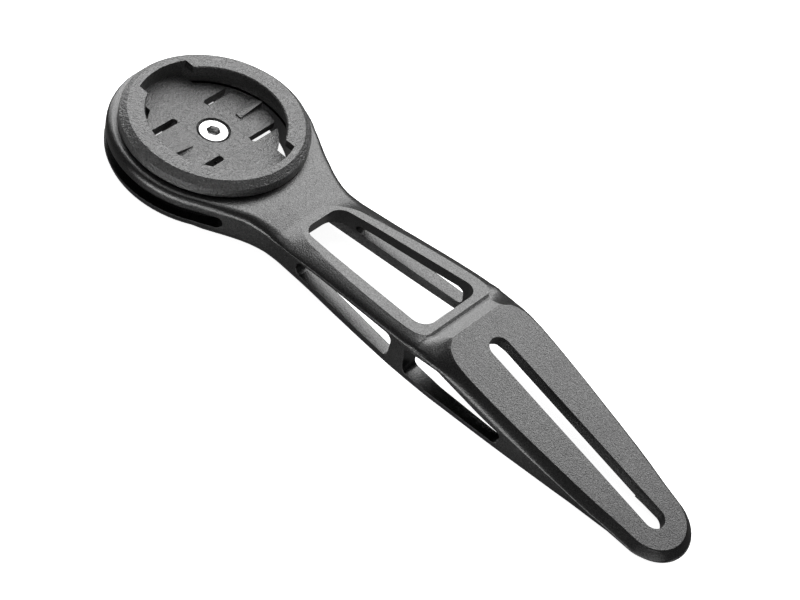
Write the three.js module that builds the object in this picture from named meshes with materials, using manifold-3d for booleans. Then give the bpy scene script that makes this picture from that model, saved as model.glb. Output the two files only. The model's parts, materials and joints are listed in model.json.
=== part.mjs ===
// Out-front mount for a cycling computer: a one-piece aluminium arm, a moulded quarter-turn socket on its
// round head, two sprung detent tongues in the socket floor, and the screw that clamps the socket.
// Millimetres. The part is drawn in the socket's frame (origin on the socket axis at the ring's top face,
// +X along the arm to its slotted tail, +Z up) and turned at the end so that it rests on its underside.
import * as THREE from "three";
import { mergeVertices } from "three/addons/utils/BufferGeometryUtils.js";
import Module from "manifold-3d";

const wasm = await Module();
wasm.setup();

// ---- Quarter-turn socket ----
const LIP_R = 13.6; // inner radius of the two lips that hold the computer's tabs
const GROOVE_R = 15.75; // the tabs turn inside this radius
const RING_TOP_R = 17.05; // outer edge of the ring's flat top
const RING_R = 18.4; // the ring's outer wall
const RING_BEVEL = 1.2; // drop of the bevel round the top
const FLANGE_Z = -3.2; // underside of the flange that sits on the arm
const LIP_Z = -1.5; // underside of the lips
const FLOOR_Z = -3.6; // socket floor
const FLOOR_T = 2.0; // floor thickness
const SPIGOT_R = 16.7; // the floor drops into the arm's head inside this radius
const NOTCH_HALF = 6.3; // half width of each entry notch, fore and aft
const FLOOR_R = 12.6; // the floor's edge under the lips; mould openings lie outside it
const OPENING_Y = 6.1; // the mould openings stop this far from the arm's centre line
const SLOT_X = 6.12; // centre of the slots beside each tongue
const SLOT_W = 1.45;
const TONGUE_Y = 4.0; // the tongues spring from this line
const TONGUE_T = 1.5;
const TONGUE_GAP = 0.1; // stand-in parting line at a tongue's root
const RAMP_RISE = 1.3; // height of the detent ramp's crest at a tongue's free end
const RAMP_START_Y = 6.6;
const SINK_R = 3.35; // countersink in the floor
const SINK_Z = -3.9;
const SINK_END_Z = -5.45;

// ---- Screw ----
const SCREW_HEAD_R = 2.9;
const SCREW_HEAD_Z = -3.75;
const SCREW_HEAD_H = 1.45;
const SCREW_R = 1.45;
const SCREW_END_Z = -10.2;
const HEX_AF = 2.5;
const HEX_DEPTH = 1.2;

// ---- Arm ----
const HEAD_R = 20.35; // widest radius of the round head
const DECK_R = 19.2; // the head's flat deck runs out to here
const DECK_Z = -3.3;
const HEAD_JOIN = 55; // degrees either side of the arm where the head's circle runs into the neck
const HEAD_END_X = 11.7; // the head's circle ends here
const RECESS_R = 17.0; // bore that takes the socket's spigot
const RECESS_Z = -5.9;
const HOLLOW_R = 15.5; // the head is open below the recess inside this radius
const HUB_R = 6.6; // boss that takes the screw
const RIB_HALF = 2.4; // half width of the ribs between hub and ring
const SCREW_HOLE_R = 1.75;
const NUT_AF = 5.5; // M3 nut, held in a six-sided pocket under the hub
const NUT_H = 2.3;
const NUT_TOP_Z = -8.1;
const NUT_GAP = 0.2;
const NECK_PLATE_Z = -8.1; // underside of the plate between head and neck window
const PAD_SLOPE = 13.87; // degrees that the tail pad falls away from the socket's plane
const PAD_START_X = 65.7;
const PAD_START_Z = 0.52;
const SLOT_START_X = 72.2; // centre of the pad slot's first round end
const SLOT_END_X = 111.9;
const SLOT_HALF = 2.28; // the slot takes an M4 bolt
const PAD_T = 2.45; // thickness of the pad's plate
const TIP_X = 111.7; // centre of the tail's round end
const TIP_FLAT_R = 6.6;
const TIP_BROW_R = 6.7;
const TIP_R = 8.0;
// The groove in each flank of the head: where it starts and stops and the length of its ends, in degrees round
// the head, and its middle height, half height and depth, in mm.
const FLANK_GROOVE = { from: 40, to: 160, end: 3.7, z: -7.15, half: 1.35, inner: 18.2 };
const WALL_LEAN = 0.15; // the side walls lean in by this much from top to bottom
const DRAFT = 0.236; // inner walls open out by this much per mm of depth
const SILL_Z = -8.8; // and go straight down below this height
const CHORD_LEAN = 0.17; // the upper chords' undersides fall inwards by this much per mm
const REST_TILT = 1.64; // degrees: standing on the head's front edge and the tail's tip lifts the tail

// Where the arm's sections are taken, closer together where its shape changes fast.
const STATIONS = [
  [13, 14.5, 16, 17.7, 19.5, 21.2, 23, 24.6, 26, 26.4, 27.2, 28.3, 30, 31.7, 33, 34.5, 36, 37.5, 40],
  [43, 46, 49, 52, 55, 58, 60, 61.2, 61.9, 62.2, 62.5, 62.9, 63.7, 64.7, 65.3, PAD_START_X, 66.2],
  [67, 68, 69.5, 71, 73, 76, 79, 82, 85.5, 89, 92.5, 96, 100, 104, 108],
].flat();

// Top surface along the centre line: head deck, rim round the window, dip, step up, pad.
const TOP = [
  [-30, DECK_Z],
  [19.5, DECK_Z],
  [26.2, -4.12],
  [61.9, -0.97],
  [62.5, -1.25],
  [PAD_START_X, PAD_START_Z],
  [120.2, PAD_START_Z - (120.2 - PAD_START_X) * Math.tan(THREE.MathUtils.degToRad(PAD_SLOPE))],
];
// Underside along the centre line.
const UNDER = [
  [-30, -10.25],
  [-18, -10.38],
  [0, -10.64],
  [20, -10.75],
  [60, -10.9],
  [85, -11.4],
  [100, -11.7],
  [107, -12.3],
  [112, -13.3],
  [120.2, -14.4],
];
// Half width of the facet round the neck window, and of the pad.
const FACET_HALF = [
  [14, 3.1],
  [26.2, 3.1],
  [28.3, 5.2],
  [30, 6.4],
  [31.7, 7.1],
  [34.5, 7.45],
  [37.5, 7.95],
  [43, 8.85],
  [52, 9.8],
  [58, 10.15],
  [60, 10.0],
  [61.2, 9.4],
  [61.9, 8.6],
  [62.5, 7.7],
  [PAD_START_X, 6.9],
  [67.2, 8.9],
  [70, 10.1],
  [73, 10.3],
  [82, 9.9],
  [92, 9.0],
  [102, 7.95],
  [TIP_X - 0.8, TIP_FLAT_R],
];
// Outside the facet the surface runs straight out to this half width, and drops by this much.
const BROW_HALF = [
  [HEAD_END_X, 15.6],
  [14.5, 13.5],
  [17, 11.8],
  [19, 10.8],
  [22.5, 9.3],
  [26.2, 8.6],
  [30, 8.6],
  [33, 8.3],
  [36, 8.15],
  [43, 9.1],
  [52, 10.0],
  [58, 10.35],
  [61.2, 10.0],
  [62.5, 8.7],
  [PAD_START_X, 8.0],
  [67.2, 9.25],
  [70, 10.2],
  [73, 10.4],
  [82, 10.0],
  [92, 9.1],
  [102, 8.05],
  [TIP_X - 0.8, TIP_BROW_R],
];
const BROW_DROP = [
  [-30, 0],
  [19.5, 0],
  [26.2, 0.3],
  [30, 0.65],
  [33, 0.33],
  [36, 0.07],
  [60, 0.1],
  [61.9, 0.12],
  [62.5, -0.08],
  [PAD_START_X, 0.42],
  [67.6, 0.15],
  [70, 0.06],
  [120.2, 0.05],
];
// Width of the strip beside the facet's edge that takes up the change of slope.
const FACET_EDGE = 0.15;
// Half width of the widest contour.
const WIDE_HALF = [
  [HEAD_END_X, 16.72],
  [13.8, 15.45],
  [15.5, 14.45],
  [17.2, 13.45],
  [18.8, 12.6],
  [20.5, 11.8],
  [22.5, 11.1],
  [25, 10.6],
  [28, 10.5],
  [31, 10.6],
  [36, 10.8],
  [43, 11.25],
  [52, 11.95],
  [60, 12.35],
  [66, 12.3],
  [72.5, 11.95],
  [82, 11.35],
  [92, 10.5],
  [102, 9.45],
  [TIP_X - 0.8, TIP_R],
];
// Depth of the widest contour under the top surface.
const SHOULDER = [
  [-30, 1.6],
  [15, 1.6],
  [27, 1.6],
  [52, 1.6],
  [60, 1.8],
  [62.5, 1.75],
  [PAD_START_X, 3.1],
  [68.5, 2.5],
  [84, 2.3],
  [98, 1.7],
  [120.2, 1.5],
];
// Slope of the top surface's edge where the rounding into the side wall begins, in degrees.
const BROW_SLOPE = [
  [-30, 5],
  [19, 6],
  [30, 18],
  [60, 19],
  [62.5, 0],
  [PAD_START_X, 24],
  [68.5, 37],
  [84, 42],
  [120.2, 45],
];
// Radius of the rounding along the lower edge.
const LOWER_ROUND = [
  [-30, 2.0],
  [0, 2.0],
  [15, 1.8],
  [27, 2.0],
  [35, 1.7],
  [42, 1.2],
  [60, 1.1],
  [90, 1.0],
  [104, 0.7],
  [112, 0.45],
  [120.2, 0.35],
];

// ---------------------------------------------------------------- helpers

function linear(table) {
  return (x) => {
    let i = 1;
    while (i < table.length - 1 && x > table[i][0]) i++;
    const [x0, y0] = table[i - 1];
    const [x1, y1] = table[i];
    const t = Math.min(Math.max((x - x0) / (x1 - x0), 0), 1);
    return y0 + (y1 - y0) * t;
  };
}

// A curve through the table with no overshoot (monotone cubic).
function smooth(table) {
  const n = table.length;
  const slope = (i) => (table[i + 1][1] - table[i][1]) / (table[i + 1][0] - table[i][0]);
  const tangent = table.map((_, i) => {
    if (i === 0) return slope(0);
    if (i === n - 1) return slope(n - 2);
    const a = slope(i - 1);
    const b = slope(i);
    return a * b <= 0 ? 0 : (2 * a * b) / (a + b);
  });
  return (x) => {
    let i = 1;
    while (i < n - 1 && x > table[i][0]) i++;
    const [x0, y0] = table[i - 1];
    const [x1, y1] = table[i];
    const h = x1 - x0;
    const t = Math.min(Math.max((x - x0) / h, 0), 1);
    const a = 2 * t ** 3 - 3 * t ** 2 + 1;
    const b = t ** 3 - 2 * t ** 2 + t;
    const c = -2 * t ** 3 + 3 * t ** 2;
    const d = t ** 3 - t ** 2;
    return a * y0 + b * h * tangent[i - 1] + c * y1 + d * h * tangent[i];
  };
}

function solid(geometry) {
  const bare = geometry.clone();
  bare.deleteAttribute("normal");
  bare.deleteAttribute("uv");
  const merged = mergeVertices(bare, 1e-4);
  const made = new wasm.Manifold(
    new wasm.Mesh({
      numProp: 3,
      vertProperties: new Float32Array(merged.attributes.position.array),
      triVerts: new Uint32Array(merged.index.array),
    }),
  );
  if (made.volume() < 0) throw new Error("a profile is drawn inside out");
  return made;
}

function toGeometry(made) {
  const mesh = made.getMesh();
  const geometry = new THREE.BufferGeometry();
  geometry.setAttribute("position", new THREE.BufferAttribute(mesh.vertProperties, 3));
  geometry.setIndex(new THREE.BufferAttribute(mesh.triVerts, 1));
  geometry.computeVertexNormals();
  return geometry;
}

// Triangles that close a flat contour.
function flatCap(ring) {
  return THREE.ShapeUtils.triangulateShape(ring.map(([x, y]) => new THREE.Vector2(x, y)), []);
}

// Triangles that close a contour which mirrors itself about the X axis, laid in strips square to that
// axis, so that the surface may bend along X. Its first point and its middle one lie on the axis.
function stripCap(ring) {
  const n = ring.length;
  const faces = [];
  for (let i = 0; i < n / 2; i++) {
    const left = (n - i) % n;
    if (i + 1 < n / 2) faces.push([i, i + 1, left], [i + 1, n - i - 1, left]);
    else faces.push([i, i + 1, left]);
  }
  return faces.filter(([a, b, c]) => a !== b && b !== c && a !== c);
}

// Anticlockwise rings of equally many points, lowest first, joined in order and closed at both ends.
function skin(rings, cap = flatCap) {
  const n = rings[0].length;
  const index = [];
  for (let k = 0; k + 1 < rings.length; k++)
    for (let i = 0; i < n; i++) {
      const a = k * n + i;
      const b = k * n + ((i + 1) % n);
      index.push(a, b, b + n, a, b + n, a + n);
    }
  const last = (rings.length - 1) * n;
  for (const [a, b, c] of cap(rings[0])) index.push(a, c, b);
  for (const [a, b, c] of cap(rings.at(-1))) index.push(last + a, last + b, last + c);
  const geometry = new THREE.BufferGeometry();
  geometry.setAttribute("position", new THREE.Float32BufferAttribute(rings.flat(2), 3));
  geometry.setIndex(index);
  return solid(geometry);
}

// Convex rings of equally many points, joined in order and closed with a fan at each end.
function tube(rings) {
  const n = rings[0].length;
  const index = [];
  for (let k = 0; k + 1 < rings.length; k++)
    for (let i = 0; i < n; i++) {
      const a = k * n + i;
      const b = k * n + ((i + 1) % n);
      index.push(a, b + n, b, a, a + n, b + n);
    }
  const last = (rings.length - 1) * n;
  for (let i = 1; i + 1 < n; i++) index.push(0, i, i + 1, last, last + i + 1, last + i);
  const geometry = new THREE.BufferGeometry();
  geometry.setAttribute("position", new THREE.Float32BufferAttribute(rings.flat(2), 3));
  geometry.setIndex(index);
  return solid(geometry);
}

// A solid of revolution about Z from [radius, z] corners, listed anticlockwise.
function turned(profile, segments = 96) {
  const geometry = new THREE.LatheGeometry(
    profile.map(([r, z]) => new THREE.Vector2(r, z)),
    segments,
  );
  geometry.rotateX(Math.PI / 2);
  return solid(geometry);
}

function cylinder(r, z0, z1, segments = 96) {
  return turned([[0, z0], [r, z0], [r, z1], [0, z1]], segments);
}

function block(x0, x1, y0, y1, z0, z1) {
  const geometry = new THREE.BoxGeometry(x1 - x0, y1 - y0, z1 - z0);
  geometry.translate((x0 + x1) / 2, (y0 + y1) / 2, (z0 + z1) / 2);
  return solid(geometry);
}

// Corners [a, b, radius] turned into a closed outline with round corners.
function rounded(corners, steps = 8) {
  const out = [];
  corners.forEach(([x, y, r], i) => {
    const here = new THREE.Vector2(x, y);
    const back = new THREE.Vector2(...corners.at(i - 1).slice(0, 2)).sub(here).normalize();
    const on = new THREE.Vector2(...corners[(i + 1) % corners.length].slice(0, 2)).sub(here).normalize();
    const half = Math.acos(THREE.MathUtils.clamp(back.dot(on), -1, 1)) / 2;
    const reach = r / Math.tan(half);
    const start = here.clone().addScaledVector(back, reach);
    const end = here.clone().addScaledVector(on, reach);
    const centre = here.clone().add(back.clone().add(on).normalize().multiplyScalar(r / Math.sin(half)));
    const a0 = Math.atan2(start.y - centre.y, start.x - centre.x);
    let turn = Math.atan2(end.y - centre.y, end.x - centre.x) - a0;
    if (turn > Math.PI) turn -= 2 * Math.PI;
    if (turn < -Math.PI) turn += 2 * Math.PI;
    for (let k = 0; k <= steps; k++) {
      const a = a0 + (turn * k) / steps;
      out.push([centre.x + r * Math.cos(a), centre.y + r * Math.sin(a)]);
    }
  });
  return out;
}

function hexagon(acrossFlats, z0, z1) {
  return cylinder(acrossFlats / Math.sqrt(3), z0, z1, 6);
}

// An outline in X and Z cut straight across the arm.
function crossCut(outline, half = 30) {
  const shape = new THREE.Shape(outline.map(([x, z]) => new THREE.Vector2(x, z)));
  const geometry = new THREE.ExtrudeGeometry(shape, { depth: 2 * half, bevelEnabled: false });
  geometry.rotateX(Math.PI / 2);
  geometry.translate(0, half, 0);
  return solid(geometry);
}

// An outline in X and Y that opens out downwards from the height where it is drawn, as far as the sills.
function draftedCut(outline, drawnAt, top, bottom) {
  const grown = (by) =>
    outline.map((p, i) => {
      const a = outline.at(i - 1);
      const b = outline[(i + 1) % outline.length];
      const length = Math.hypot(b[0] - a[0], b[1] - a[1]);
      return [p[0] + ((b[1] - a[1]) / length) * by, p[1] - ((b[0] - a[0]) / length) * by];
    });
  const at = (z) => grown((drawnAt - Math.max(z, SILL_Z)) * DRAFT).map(([x, y]) => [x, y, z]);
  return skin([at(bottom), at(SILL_Z), at(top)]);
}

// ---------------------------------------------------------------- arm

// One closed contour of the arm's outside, seen from above, anticlockwise from the front of the head.
function contour(headRadius, half, tipRadius) {
  const right = [];
  const join = THREE.MathUtils.degToRad(HEAD_JOIN);
  for (let i = 0; i <= 28; i++) {
    const a = Math.PI + (i * (Math.PI - join)) / 28;
    right.push([headRadius * Math.cos(a), headRadius * Math.sin(a)]);
  }
  for (const x of STATIONS) right.push([x, -half(x)]);
  for (let i = 1; i <= 14; i++) {
    const a = THREE.MathUtils.degToRad(-84 + 6 * i);
    right.push([TIP_X + tipRadius * Math.cos(a), tipRadius * Math.sin(a)]);
  }
  const left = right.slice(1, -1).reverse().map(([x, y]) => [x, -y]);
  return [...right, ...left];
}

// Rounding between the brow and the side wall: a curve that leaves the brow at its slope and meets the
// wall upright. Gives the share of the way out and the share of the way down at t.
function rounding(t, slope, out, down) {
  const middle = Math.min((out * Math.tan(THREE.MathUtils.degToRad(slope))) / down, 0.9);
  return [2 * t * (1 - t) + t * t, 2 * t * (1 - t) * middle + t * t];
}

// A contour with a height for each of its points.
function ringAt(headRadius, half, tipRadius, z) {
  return contour(headRadius, half, tipRadius).map(([x, y]) => [x, y, z(x)]);
}

// From the facet's edge out over the brow and down to the widest contour.
function upperRings() {
  const top = linear(TOP);
  const facet = smooth(FACET_HALF);
  const brow = smooth(BROW_HALF);
  const browDrop = linear(BROW_DROP);
  const wide = smooth(WIDE_HALF);
  const shoulder = linear(SHOULDER);
  const slope = linear(BROW_SLOPE);
  const strip = (x) => Math.min(FACET_EDGE / (brow(x) - facet(x)), 0.5);
  const stripHalf = (x) => facet(x) + (brow(x) - facet(x)) * strip(x);
  const rings = [
    ringAt(DECK_R * 0.7, facet, TIP_FLAT_R, top),
    ringAt(DECK_R * 0.8, stripHalf, (TIP_FLAT_R + TIP_BROW_R) / 2, (x) => top(x) - browDrop(x) * strip(x)),
  ];
  for (const t of [0, 0.15, 0.3, 0.45, 0.6, 0.75, 0.88, 1]) {
    const share = (x) => rounding(t, slope(x), wide(x) - brow(x), shoulder(x) - browDrop(x));
    const [headOut, headDown] = rounding(t, slope(0), HEAD_R - DECK_R, shoulder(0));
    const [tipOut] = rounding(t, slope(TIP_X), TIP_R - TIP_BROW_R, shoulder(TIP_X));
    const half = (x) => brow(x) + (wide(x) - brow(x)) * share(x)[0];
    const down = (x) => (x < HEAD_END_X ? headDown : share(x)[1]);
    const z = (x) => top(x) - browDrop(x) - (shoulder(x) - browDrop(x)) * down(x);
    const headRadius = DECK_R + (HEAD_R - DECK_R) * headOut;
    rings.push(ringAt(headRadius, half, TIP_BROW_R + (TIP_R - TIP_BROW_R) * tipOut, z));
  }
  return rings;
}

// From the foot of the side walls round the lower edge to the underside.
function lowerRings() {
  const under = linear(UNDER);
  const wide = smooth(WIDE_HALF);
  const round = linear(LOWER_ROUND);
  const rings = [];
  for (let i = 0; i <= 5; i++) {
    const a = (i * Math.PI) / 10;
    const inwards = (r) => WALL_LEAN + (1 - Math.cos(a)) * r;
    const half = (x) => wide(x) - inwards(round(x));
    const z = (x) => under(x) + round(x) * (1 - Math.sin(a));
    rings.push(ringAt(HEAD_R - inwards(round(0)), half, TIP_R - inwards(round(TIP_X)), z));
  }
  return rings;
}

function armHull() {
  return skin([...upperRings(), ...lowerRings()].reverse(), stripCap);
}

// The window through the neck, open at top and bottom.
function neckWindow() {
  const side = rounded([
    [28.65, 4.75, 2.5],
    [28.65, -4.75, 2.5],
    [36, -5.75, 30],
    [60.7, -8.35, 3.0],
    [60.7, 8.35, 3.0],
    [36, 5.75, 30],
  ]);
  const below = rounded([
    [23.6, 4.7, 0.6],
    [23.6, -4.7, 0.6],
    [46, -6.8, 0.6],
    [46, 6.8, 0.6],
  ]);
  return draftedCut(side, -2.5, 3, -17).add(draftedCut(below, -2.5, NECK_PLATE_Z, -17));
}

// The hollow under the pad, open downwards and into the neck window.
function tailHollow() {
  const outline = rounded([
    [56, 7.1, 1.5],
    [56, -7.1, 1.5],
    [68, -7.95, 20],
    [84, -7.5, 20],
    [105, -5.6, 2.5],
    [105, 5.6, 2.5],
    [84, 7.5, 20],
    [68, 7.95, 20],
  ]);
  const top = linear(TOP);
  const roof = (x) => top(x) - PAD_T / Math.cos(THREE.MathUtils.degToRad(PAD_SLOPE));
  const below = crossCut([[50, -20], [112, -20], [112, roof(112)], [67, roof(67)], [60.5, -3.6], [50, -3.6]]);
  return draftedCut(outline, -4, -1.2, -18).intersect(below);
}

// A window through both side walls, from its outline at the outer faces. Its upper edge falls inwards.
function sideWindow(outline) {
  const low = Math.min(...outline.map((p) => p[1]));
  const high = Math.max(...outline.map((p) => p[1]));
  const at = (y, side) =>
    outline.map(([x, z]) => [x, side * y, z - ((z - low) / (high - low)) * CHORD_LEAN * (12 - y)]);
  const right = [at(14, -1), at(5, -1)];
  const left = [at(14, 1), at(5, 1)].reverse();
  return tube(right).add(tube(left));
}

function sideWindows() {
  const fore = rounded([
    [32.0, -5.4, 1.4],
    [32.6, -8.45, 1.4],
    [56.9, -8.95, 1.3],
    [56.9, -3.5, 1.5],
  ]);
  const aft = rounded([
    [60.1, -3.75, 0.8],
    [60.9, -9.2, 1.4],
    [83.4, -9.85, 1.5],
    [83.4, -6.95, 1.3],
    [67.8, -3.1, 3],
  ]);
  return sideWindow(fore).add(sideWindow(aft));
}

// The slot through the pad, square to the pad's face.
function padSlot() {
  const rise = THREE.MathUtils.degToRad(PAD_SLOPE);
  const length = (SLOT_END_X - SLOT_START_X) / Math.cos(rise);
  const shape = new THREE.Shape();
  shape.absarc(0, 0, SLOT_HALF, Math.PI / 2, (3 * Math.PI) / 2, false);
  shape.absarc(length, 0, SLOT_HALF, -Math.PI / 2, Math.PI / 2, false);
  const geometry = new THREE.ExtrudeGeometry(shape, { depth: 30, bevelEnabled: false, curveSegments: 20 });
  geometry.translate(0, 0, -25);
  geometry.rotateY(rise);
  geometry.translate(SLOT_START_X, 0, linear(TOP)(SLOT_START_X));
  return solid(geometry);
}

// A long blind groove in each flank of the head, with round ends.
function headGroove(side) {
  const { from, to, end, z, half, inner } = FLANK_GROOVE;
  const ends = [0, 0.35, 1, 2, end];
  const stops = ends.map((d) => from + d);
  for (let a = from + 2 * end; a < to - end; a += 4) stops.push(a);
  stops.push(...ends.map((d) => to - d).reverse());
  const rings = stops.map((degrees) => {
    const near = Math.min(degrees - from, to - degrees, end) / end;
    const open = half * Math.sqrt(Math.max(1 - (1 - near) ** 2, 0.02));
    const a = -THREE.MathUtils.degToRad(degrees) * side;
    const at = (r, dz) => [r * Math.cos(a), r * Math.sin(a), z + dz];
    return [at(inner, -open), at(25, -open), at(25, open), at(inner, open)];
  });
  return tube(side > 0 ? rings.reverse() : rings);
}

// What is left under the socket: an outer ring, a hub for the screw and a rib fore and aft.
function headHollow() {
  const well = cylinder(RECESS_R, RECESS_Z, 5);
  const ring = cylinder(HOLLOW_R, -20, RECESS_Z + 1).subtract(cylinder(HUB_R, -25, 0));
  const ribs = block(-25, 25, -RIB_HALF, RIB_HALF, -25, 0);
  const pocket = hexagon(NUT_AF + 2 * NUT_GAP, -20, NUT_TOP_Z + NUT_GAP);
  return well.add(ring.subtract(ribs)).add(cylinder(SCREW_HOLE_R, -25, 0, 32)).add(pocket);
}

function arm() {
  let body = armHull();
  body = body.subtract(headHollow());
  body = body.subtract(neckWindow());
  body = body.subtract(tailHollow());
  body = body.subtract(sideWindows());
  body = body.subtract(padSlot());
  body = body.subtract(headGroove(1)).subtract(headGroove(-1));
  return body;
}

// ---------------------------------------------------------------- socket

function socketBlank() {
  return turned([
    [0, FLOOR_Z - FLOOR_T],
    [SPIGOT_R, FLOOR_Z - FLOOR_T],
    [SPIGOT_R, FLANGE_Z],
    [RING_R - 0.15, FLANGE_Z],
    [RING_R, FLANGE_Z + 0.15],
    [RING_R, -RING_BEVEL],
    [RING_TOP_R, 0],
    [LIP_R + 0.2, 0],
    [LIP_R, -0.2],
    [LIP_R, LIP_Z],
    [GROOVE_R, LIP_Z],
    [GROOVE_R, FLOOR_Z],
    [0, FLOOR_Z],
  ]);
}

// Entry notch: parallel sides with rounded mouths, as deep as the groove.
function entryNotches() {
  const r = 0.8;
  const y = NOTCH_HALF;
  const mouth = Math.sqrt(LIP_R ** 2 - y ** 2);
  const outline = rounded([
    [0, -y - 1.6, 0.1],
    [mouth - 1.1, -y - 1.6, 0.1],
    [mouth + 0.1, -y, r],
    [30, -y, 0.1],
    [30, y, 0.1],
    [mouth + 0.1, y, r],
    [mouth - 1.1, y + 1.6, 0.1],
    [0, y + 1.6, 0.1],
  ]);
  const at = (z) => outline.map(([x, yy]) => [x, yy, z]);
  const fore = skin([at(FLOOR_Z), at(5)]).intersect(cylinder(GROOVE_R, -10, 10));
  return fore.add(fore.rotate([0, 0, 180]));
}

function mouldOpenings() {
  const ring = cylinder(GROOVE_R, -10, FLOOR_Z + 0.5).subtract(cylinder(FLOOR_R, -20, 10));
  return ring.subtract(block(-30, 30, -OPENING_Y, OPENING_Y, -20, 10));
}

// Slots beside the tongues, rounded at their inner ends.
function tongueSlots() {
  const w = SLOT_W / 2;
  const inner = TONGUE_Y + 0.65;
  const one = block(-w, w, inner, 13.5, -20, -3).add(cylinder(w, -20, -3, 24).translate([0, inner, 0]));
  const pair = one.translate([SLOT_X, 0, 0]).add(one.translate([-SLOT_X, 0, 0]));
  return pair.add(pair.rotate([0, 0, 180]));
}

function tongueClearance() {
  const x = SLOT_X - SLOT_W / 2 + 0.05;
  const fore = block(-x, x, TONGUE_Y, 15, -20, -3);
  return fore.add(block(-x, x, -15, -TONGUE_Y, -20, -3)).intersect(cylinder(GROOVE_R, -20, 10));
}

function socketBody() {
  const bore = SCREW_HOLE_R - 0.05;
  const profile = [[0, -20], [bore, -20], [bore, SINK_END_Z], [SINK_R, SINK_Z], [SINK_R, -3], [0, -3]];
  const sink = turned(profile, 64);
  return socketBlank()
    .subtract(entryNotches())
    .subtract(mouldOpenings())
    .subtract(tongueSlots())
    .subtract(tongueClearance())
    .subtract(sink);
}

// A cantilever of the floor with a ramp that rises towards its free end. side is +1 for +Y.
function tongue(side) {
  const x = SLOT_X - SLOT_W / 2;
  const root = TONGUE_Y + TONGUE_GAP;
  const blank = block(-x, x, root, 14, FLOOR_Z - TONGUE_T, FLOOR_Z).intersect(cylinder(FLOOR_R, -20, 10));
  const tip = FLOOR_R - 0.15;
  const low = FLOOR_Z - 0.5;
  const start = FLOOR_Z + 0.25;
  const ramp = new THREE.BufferGeometry();
  const corners = [
    [-0.55, RAMP_START_Y, low],
    [0.85, RAMP_START_Y, low],
    [0.85, tip, low],
    [-1.7, tip - 0.1, low],
    [-0.55, RAMP_START_Y, start],
    [0.85, RAMP_START_Y, start],
    [0.85, tip, FLOOR_Z + RAMP_RISE],
    [-1.7, tip - 0.1, FLOOR_Z + 0.35],
  ];
  ramp.setAttribute("position", new THREE.Float32BufferAttribute(corners.flat(), 3));
  ramp.setIndex(
    [
      [0, 2, 1, 0, 3, 2],
      [4, 5, 6, 4, 6, 7],
      [0, 1, 5, 0, 5, 4],
      [1, 2, 6, 1, 6, 5],
      [2, 3, 7, 2, 7, 6],
      [3, 0, 4, 3, 4, 7],
    ].flat(),
  );
  const made = blank.add(solid(ramp));
  return side > 0 ? made : made.mirror([0, 1, 0]);
}

// ---------------------------------------------------------------- screw

function screw() {
  const neck = SCREW_HEAD_Z - SCREW_HEAD_H;
  const body = turned(
    [
      [0, SCREW_END_Z],
      [SCREW_R - 0.4, SCREW_END_Z],
      [SCREW_R, SCREW_END_Z + 0.4],
      [SCREW_R, neck],
      [SCREW_HEAD_R, SCREW_HEAD_Z - 0.35],
      [SCREW_HEAD_R, SCREW_HEAD_Z - 0.12],
      [SCREW_HEAD_R - 0.12, SCREW_HEAD_Z],
      [0, SCREW_HEAD_Z],
    ],
    64,
  );
  return body.subtract(hexagon(HEX_AF, SCREW_HEAD_Z - HEX_DEPTH, 0));
}

function nut() {
  const blank = hexagon(NUT_AF, NUT_TOP_Z - NUT_H, NUT_TOP_Z);
  return blank.subtract(cylinder(SCREW_R + 0.1, -20, 0, 48));
}

// ---------------------------------------------------------------- assembly

const METAL = { color: 0x3a3b3d, roughness: 0.5, metalness: 0.6 };
const NYLON = { color: 0x303132, roughness: 0.6, metalness: 0.0 };
const STEEL = { color: 0xd8d9da, roughness: 0.25, metalness: 1.0 };

const group = new THREE.Group();
function place(name, made, look) {
  const mesh = new THREE.Mesh(toGeometry(made), new THREE.MeshStandardMaterial(look));
  mesh.name = name;
  group.add(mesh);
}
place("arm", arm(), METAL);
place("socket_body", socketBody(), NYLON);
place("detent_tongue_left", tongue(1), NYLON);
place("detent_tongue_right", tongue(-1), NYLON);
place("clamp_screw", screw(), STEEL);
place("captive_nut", nut(), STEEL);

group.rotation.y = THREE.MathUtils.degToRad(-REST_TILT);
group.updateMatrixWorld(true);
const box = new THREE.Box3().setFromObject(group, true);
const centre = box.getCenter(new THREE.Vector3());
group.position.set(-centre.x, -centre.y, -box.min.z);

export default group;
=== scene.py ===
"""Looks for an out-front mount for a cycling computer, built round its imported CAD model.

Blender units are metres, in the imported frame. The arm's long axis is X, and the socket for the computer is
at the -X end. Names that end in _MM are in millimetres. The camera and the cuts through the socket are
placed in the socket's own frame, which leans slightly: its origin is on its axis, at the top of its ring.
"""

import json
import math

import bmesh
import bpy
from mathutils import Matrix, Vector

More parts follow.
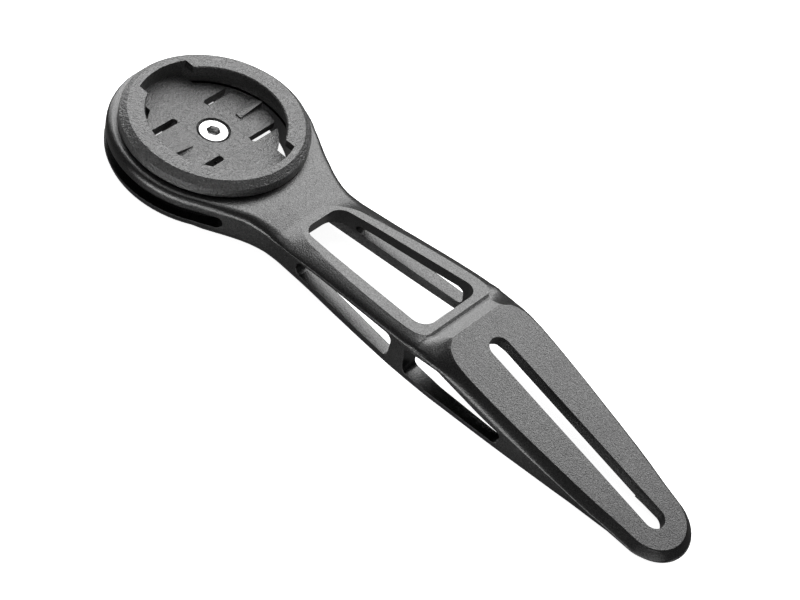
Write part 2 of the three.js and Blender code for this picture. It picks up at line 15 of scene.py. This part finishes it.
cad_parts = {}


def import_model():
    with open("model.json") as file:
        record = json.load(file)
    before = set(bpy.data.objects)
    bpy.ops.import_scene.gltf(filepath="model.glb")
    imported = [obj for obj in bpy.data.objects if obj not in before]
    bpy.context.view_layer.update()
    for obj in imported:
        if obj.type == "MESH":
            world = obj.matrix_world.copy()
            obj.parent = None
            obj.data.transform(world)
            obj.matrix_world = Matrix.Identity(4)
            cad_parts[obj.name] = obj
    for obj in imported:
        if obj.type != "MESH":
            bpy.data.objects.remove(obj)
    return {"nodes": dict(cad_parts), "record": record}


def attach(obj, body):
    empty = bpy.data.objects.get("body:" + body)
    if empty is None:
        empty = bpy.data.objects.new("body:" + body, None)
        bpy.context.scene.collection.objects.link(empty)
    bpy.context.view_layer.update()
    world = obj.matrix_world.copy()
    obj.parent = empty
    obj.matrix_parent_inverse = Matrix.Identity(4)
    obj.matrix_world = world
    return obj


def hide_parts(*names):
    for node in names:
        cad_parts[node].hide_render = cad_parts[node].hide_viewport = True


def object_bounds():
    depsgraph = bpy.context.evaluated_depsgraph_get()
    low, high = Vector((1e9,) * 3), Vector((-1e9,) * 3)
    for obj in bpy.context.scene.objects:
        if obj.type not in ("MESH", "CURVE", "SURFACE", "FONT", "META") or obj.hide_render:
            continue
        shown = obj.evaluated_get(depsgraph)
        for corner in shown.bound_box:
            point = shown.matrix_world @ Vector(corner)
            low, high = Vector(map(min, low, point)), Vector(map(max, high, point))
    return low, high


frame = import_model()
cad_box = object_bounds()
MM = 0.001

# ---------------------------------------------------------------- camera, in the socket's frame

CAMERA_AZIMUTH = 28.95  # degrees round the socket's axis, from looking along +Y
CAMERA_ELEVATION = 44.49
CAMERA_ROLL = 17.59
CAMERA_AIM_MM = (53.4, -7.2, 0.0)
CAMERA_DISTANCE_MM = 541.2
CAMERA_LENS_MM = 135.0
CAMERA_SENSOR_MM = 36.0

# ---------------------------------------------------------------- stage

PANEL_DISTANCE = 0.6  # metres from the object's centre to each light
AMBIENT = 0.15  # strength of the even light from all round
FLOOR_HALF = 1.5  # metres
FLOOR_GLOW = 0.92  # the floor's own light, which keeps it evenly pale

# ---------------------------------------------------------------- finishes

ANODISED_GREY = 0.064
NYLON_GREY = 0.03
STEEL_GREY = 0.5

# ---------------------------------------------------------------- edges

EASED_FROM = math.radians(28)  # edges sharper than this are rounded off
MOULDING_EASE_MM = 0.1
SCREW_EASE_MM = 0.05
NUT_EASE_MM = 0.15
ARM_CREASE = math.radians(15)  # faces that meet at more than this are shaded apart
SOCKET_CREASE = math.radians(20)
STEEL_CREASE = math.radians(55)

# ---------------------------------------------------------------- tongues, in the socket's frame

TONGUES = {1: "detent_tongue_left", -1: "detent_tongue_right"}
TONGUE_HALF_MM = 5.3  # half a tongue's width
TONGUE_UNDER_MM = -5.0  # underside of a tongue
FLOOR_MM = -3.6  # top of the socket's floor
ROOT_MM = 4.05  # a tongue bends on this line, this far from the arm's centre line
BRIDGE_HALF_MM = 0.4  # the bridge over the parting line reaches this far either side of the root
CUT_HALF_MM = 6.1  # the cut that frees a tongue runs along the slots on its two sides
CUT_END_MM = 14.0  # the cut's far end, beyond the tongue's free end
CUT_UNDER_MM = -8.0  # the cut's lowest point, well below the tongue
CUT_TOP_MM = -1.7  # the cut's highest point, just under the lips


def socket_frame():
    """The socket's own frame: Z along its axis, X along the arm, from the centre of its ring's top."""
    seat = next(m for m in frame["record"]["mounts"] if m["name"] == "computer_seat")
    up = Vector(seat["axis"]).normalized()
    across = Vector((0, 1, 0))
    along = across.cross(up)
    turn = Matrix((along, across, up)).transposed().to_4x4()
    return Matrix.Translation((seat["pos_m"][0], 0, seat["pos_m"][2])) @ turn


SOCKET = socket_frame()


# ---------------------------------------------------------------- meshes


def apply(piece, kind, **settings):
    """Adds a modifier to a piece and applies it."""
    modifier = piece.modifiers.new(kind.lower(), kind)
    for key, value in settings.items():
        setattr(modifier, key, value)
    bpy.context.view_layer.update()
    shown = piece.evaluated_get(bpy.context.evaluated_depsgraph_get())
    mesh = bpy.data.meshes.new_from_object(shown)
    piece.modifiers.clear()
    piece.data = mesh
    return piece


def copy_of(node, name):
    """A copy of a CAD node as one closed mesh."""
    piece = bpy.data.objects.new(name, frame["nodes"][node].data.copy())
    bpy.context.scene.collection.objects.link(piece)
    return apply(piece, "WELD", merge_threshold=1e-3 * MM)


def box_piece(low, high):
    """A plain box between two corners in the socket's frame, in mm, to cut or join with."""
    xs, ys, zs = zip(low, high)
    corners = [SOCKET @ (Vector((x, y, z)) * MM) for x in xs for y in ys for z in zs]
    faces = [(0, 1, 3, 2), (4, 6, 7, 5), (0, 4, 5, 1), (2, 3, 7, 6), (0, 2, 6, 4), (1, 5, 7, 3)]
    mesh = bpy.data.meshes.new("tool")
    mesh.from_pydata(corners, [], faces)
    tool = bpy.data.objects.new("tool", mesh)
    bpy.context.scene.collection.objects.link(tool)
    return tool


def combined(piece, operation, tool):
    """Joins a tool to a piece, cuts it out of it, or keeps what they share."""
    return apply(piece, "BOOLEAN", operation=operation, object=tool, solver="MANIFOLD")


def eased(piece, edge_mm):
    """Rounds a piece's sharp edges off."""
    limit = {"limit_method": "ANGLE", "angle_limit": EASED_FROM}
    return apply(piece, "BEVEL", width=edge_mm * MM, segments=3, **limit)


def shaded(piece, crease):
    """Smooth shading that keeps flats flat, with every edge above the crease angle sharp."""
    form = bmesh.new()
    form.from_mesh(piece.data)
    for face in form.faces:
        face.smooth = True
    for edge in form.edges:
        edge.smooth = edge.calc_face_angle(0) < crease
    form.to_mesh(piece.data)
    form.free()
    return apply(piece, "WEIGHTED_NORMAL", mode="FACE_AREA", weight=50, keep_sharp=True)


def dressed(piece, node, material, body, crease):
    """Finishes a piece that stands for a CAD node, in its place and on its body."""
    shaded(piece, crease)
    piece.data.materials.clear()
    piece.data.materials.append(material)
    piece.data.name = piece.name
    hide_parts(node)
    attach(piece, body)


def moulding():
    """The socket and its two tongues as the one moulding that they are, with its edges eased."""
    whole = copy_of("socket_body", "moulded_socket")
    for side in (-1, 1):
        tongue = copy_of(TONGUES[side], "tool")
        combined(whole, "UNION", tongue)
        bpy.data.objects.remove(tongue)
        low, high = sorted((side * (ROOT_MM - BRIDGE_HALF_MM), side * (ROOT_MM + BRIDGE_HALF_MM)))
        bridge = box_piece((-TONGUE_HALF_MM, low, TONGUE_UNDER_MM), (TONGUE_HALF_MM, high, FLOOR_MM))
        combined(whole, "UNION", bridge)
        bpy.data.objects.remove(bridge)
    return eased(whole, MOULDING_EASE_MM)


def cut_free(socket, side, name):
    """Cuts the tongue on one side out of the moulding, so that it can bend on its root."""
    low, high = sorted((side * ROOT_MM, side * CUT_END_MM))
    cutter = box_piece((-CUT_HALF_MM, low, CUT_UNDER_MM), (CUT_HALF_MM, high, CUT_TOP_MM))
    tongue = socket.copy()
    tongue.name = name
    bpy.context.scene.collection.objects.link(tongue)
    combined(tongue, "INTERSECT", cutter)
    combined(socket, "DIFFERENCE", cutter)
    bpy.data.objects.remove(cutter)
    return tongue


# ---------------------------------------------------------------- materials


class Look:
    """A node material under construction."""

    def __init__(self, name):
        self.material = bpy.data.materials.new(name)
        self.material.use_nodes = True
        self.tree = self.material.node_tree
        self.shader = self.tree.nodes["Principled BSDF"]
        self.place = self.add("ShaderNodeTexCoord").outputs["Object"]

    def add(self, kind, **settings):
        """A new node of this kind."""
        node = self.tree.nodes.new(kind)
        for key, value in settings.items():
            setattr(node, key, value)
        return node

    def join(self, out, into):
        """Links one node's output to another's input."""
        self.tree.links.new(out, into)

    def noise(self, size_mm, detail):
        """Noise with features of about this size, from 0 to 1."""
        node = self.add("ShaderNodeTexNoise")
        node.inputs["Scale"].default_value = 1 / (size_mm * MM)
        node.inputs["Detail"].default_value = detail
        self.join(self.place, node.inputs["Vector"])
        return node.outputs["Fac"]

    def spread(self, value, given, wanted):
        """The value's given range, stretched to the wanted one."""
        node = self.add("ShaderNodeMapRange")
        for key, number in zip(("From Min", "From Max", "To Min", "To Max"), given + wanted):
            node.inputs[key].default_value = number
        self.join(value, node.inputs["Value"])
        return node.outputs["Result"]

    def grey(self, value, given, around, less, more):
        """A base colour of neutral grey that varies with the value, from less to more times the usual."""
        shade = self.spread(value, given, (less * around, more * around))
        node = self.add("ShaderNodeCombineColor")
        for channel in ("Red", "Green", "Blue"):
            self.join(shade, node.inputs[channel])
        self.join(node.outputs["Color"], self.shader.inputs["Base Color"])

    def roughness(self, value, given, wanted):
        """A roughness that varies with the value."""
        self.join(self.spread(value, given, wanted), self.shader.inputs["Roughness"])

    def bump(self, height, depth_mm, onto=None):
        """Bumps of this depth, on top of another normal if there is one."""
        node = self.add("ShaderNodeBump")
        node.inputs["Strength"].default_value = 1.0
        node.inputs["Distance"].default_value = depth_mm * MM
        self.join(height, node.inputs["Height"])
        if onto is not None:
            self.join(onto, node.inputs["Normal"])
        self.join(node.outputs["Normal"], self.shader.inputs["Normal"])
        return node.outputs["Normal"]

    def soft_edges(self, radius_mm):
        """A normal that rounds sharp edges off by this much."""
        node = self.add("ShaderNodeBevel", samples=6)
        node.inputs["Radius"].default_value = radius_mm * MM
        return node.outputs["Normal"]


def bead_blasted():
    """Black anodised aluminium over a bead-blasted surface."""
    look = Look("black_anodised_aluminium")
    look.shader.inputs["Metallic"].default_value = 1.0
    fine = look.noise(size_mm=0.2, detail=1.0)
    grain = look.noise(size_mm=0.3, detail=2.0)
    cloud = look.noise(size_mm=9.0, detail=3.0)
    edges = look.soft_edges(radius_mm=0.12)
    blasted = look.bump(fine, depth_mm=0.024, onto=edges)
    look.bump(grain, depth_mm=0.036, onto=blasted)
    look.grey(fine, (0.25, 0.75), ANODISED_GREY, less=0.5, more=1.5)
    look.roughness(cloud, (0.3, 0.7), (0.29, 0.33))
    return look.material


def moulded_nylon():
    """Black glass-filled nylon with a spark-eroded texture."""
    look = Look("black_moulded_nylon")
    look.shader.inputs["IOR"].default_value = 1.7
    fine = look.noise(size_mm=0.3, detail=1.0)
    grain = look.noise(size_mm=0.6, detail=3.0)
    edges = look.soft_edges(radius_mm=0.1)
    pitted = look.bump(fine, depth_mm=0.1, onto=edges)
    look.bump(grain, depth_mm=0.2, onto=pitted)
    look.grey(fine, (0.3, 0.7), NYLON_GREY, less=0.3, more=2.0)
    look.roughness(grain, (0.3, 0.7), (0.34, 0.5))
    return look.material


def bright_steel():
    """Zinc-plated steel, slightly clouded and finely pitted."""
    look = Look("zinc_plated_steel")
    look.shader.inputs["Metallic"].default_value = 1.0
    grain = look.noise(size_mm=0.2, detail=3.0)
    cloud = look.noise(size_mm=1.2, detail=2.0)
    look.bump(grain, depth_mm=0.004)
    look.grey(cloud, (0.3, 0.7), STEEL_GREY, less=0.9, more=1.05)
    look.roughness(grain, (0.3, 0.7), (0.24, 0.34))
    return look.material


# ---------------------------------------------------------------- stage


def camera():
    """The scene's camera, aimed at the arm's middle from the near side of its tail."""
    azimuth = math.radians(CAMERA_AZIMUTH)
    roll = math.radians(CAMERA_ROLL)
    back = toward(CAMERA_AZIMUTH, CAMERA_ELEVATION)
    level = Vector((math.cos(azimuth), math.sin(azimuth), 0))
    upright = back.cross(level)
    right = math.cos(roll) * level + math.sin(roll) * upright
    up = back.cross(right)
    turn = Matrix((right, up, back)).transposed().to_4x4()
    at = (Vector(CAMERA_AIM_MM) + back * CAMERA_DISTANCE_MM) * MM
    data = bpy.data.cameras.new("camera")
    data.lens = CAMERA_LENS_MM
    data.sensor_width = CAMERA_SENSOR_MM
    data.clip_start = 0.01
    data.clip_end = 10.0
    made = bpy.data.objects.new("camera", data)
    made.matrix_world = SOCKET @ Matrix.Translation(at) @ turn
    bpy.context.scene.collection.objects.link(made)
    bpy.context.scene.camera = made


def toward(azimuth, elevation):
    """The direction from the object that a view azimuth and elevation in degrees name: azimuth 0 is -Y."""
    a = math.radians(azimuth)
    e = math.radians(elevation)
    return Vector((math.sin(a) * math.cos(e), -math.cos(a) * math.cos(e), math.sin(e)))


def panel(name, azimuth, elevation, wide, high, radiance):
    """A soft rectangular light that spans this many degrees each way, as the object sees it."""
    data = bpy.data.lights.new(name, "AREA")
    data.shape = "RECTANGLE"
    data.size = 2 * PANEL_DISTANCE * math.tan(math.radians(wide / 2))
    data.size_y = 2 * PANEL_DISTANCE * math.tan(math.radians(high / 2))
    data.energy = radiance * data.size * data.size_y * math.pi
    direction = toward(azimuth, elevation)
    made = bpy.data.objects.new(name, data)
    made.location = sum(cad_box, Vector()) / 2 + direction * PANEL_DISTANCE
    made.rotation_mode = "QUATERNION"
    made.rotation_quaternion = direction.to_track_quat("Z", "Y")
    bpy.context.scene.collection.objects.link(made)


def floor():
    """A plain pale floor, which neither takes a shadow nor lights the object from below."""
    near, far = -FLOOR_HALF, FLOOR_HALF
    corners = [(near, near, 0), (far, near, 0), (far, far, 0), (near, far, 0)]
    mesh = bpy.data.meshes.new("floor")
    mesh.from_pydata(corners, [], [(0, 1, 2, 3)])
    made = bpy.data.objects.new("floor", mesh)
    bpy.context.scene.collection.objects.link(made)
    look = Look("pale_floor")
    look.shader.inputs["Base Color"].default_value = (0.8, 0.8, 0.8, 1)
    look.shader.inputs["Roughness"].default_value = 0.9
    look.shader.inputs["Emission Color"].default_value = (1, 1, 1, 1)
    look.shader.inputs["Emission Strength"].default_value = FLOOR_GLOW
    mesh.materials.append(look.material)
    made.visible_diffuse = False
    made.visible_glossy = False
    made.visible_shadow = False


def world():
    """Dim even light from all round, and plain white where the camera sees past the floor."""
    made = bpy.data.worlds.new("studio")
    made.use_nodes = True
    tree = made.node_tree
    ambient = tree.nodes["Background"]
    ambient.inputs["Color"].default_value = (1, 1, 1, 1)
    ambient.inputs["Strength"].default_value = AMBIENT
    seen = tree.nodes.new("ShaderNodeBackground")
    seen.inputs["Strength"].default_value = 1.0
    seen.inputs["Color"].default_value = (1, 1, 1, 1)
    path = tree.nodes.new("ShaderNodeLightPath")
    mix = tree.nodes.new("ShaderNodeMixShader")
    tree.links.new(path.outputs["Is Camera Ray"], mix.inputs["Fac"])
    tree.links.new(ambient.outputs["Background"], mix.inputs[1])
    tree.links.new(seen.outputs["Background"], mix.inputs[2])
    tree.links.new(mix.outputs["Shader"], tree.nodes["World Output"].inputs["Surface"])
    bpy.context.scene.world = made


# ---------------------------------------------------------------- assembly

anodised = bead_blasted()
nylon = moulded_nylon()
steel = bright_steel()
arm = copy_of("arm", "anodised_arm")
dressed(arm, "arm", anodised, "mount", ARM_CREASE)
socket = moulding()
for side, body in ((1, "left_tongue"), (-1, "right_tongue")):
    tongue = cut_free(socket, side, "moulded_" + body)
    dressed(tongue, TONGUES[side], nylon, body, SOCKET_CREASE)
dressed(socket, "socket_body", nylon, "mount", SOCKET_CREASE)
screw = eased(copy_of("clamp_screw", "countersunk_screw"), SCREW_EASE_MM)
dressed(screw, "clamp_screw", steel, "mount", STEEL_CREASE)
nut = eased(copy_of("captive_nut", "hexagon_nut"), NUT_EASE_MM)
dressed(nut, "captive_nut", steel, "mount", STEEL_CREASE)

camera()
floor()
world()
panel("back_softbox", azimuth=207, elevation=42, wide=66, high=40, radiance=5.3)
panel("top_softbox", azimuth=255, elevation=74, wide=44, high=22, radiance=1.2)
panel("left_softbox", azimuth=244, elevation=11, wide=42, high=32, radiance=4.2)
panel("front_fill", azimuth=6, elevation=-18, wide=64, high=22, radiance=5.5)
panel("tail_softbox", azimuth=62, elevation=12, wide=50, high=18, radiance=1.8)
bpy.context.scene.view_settings.view_transform = "Standard"
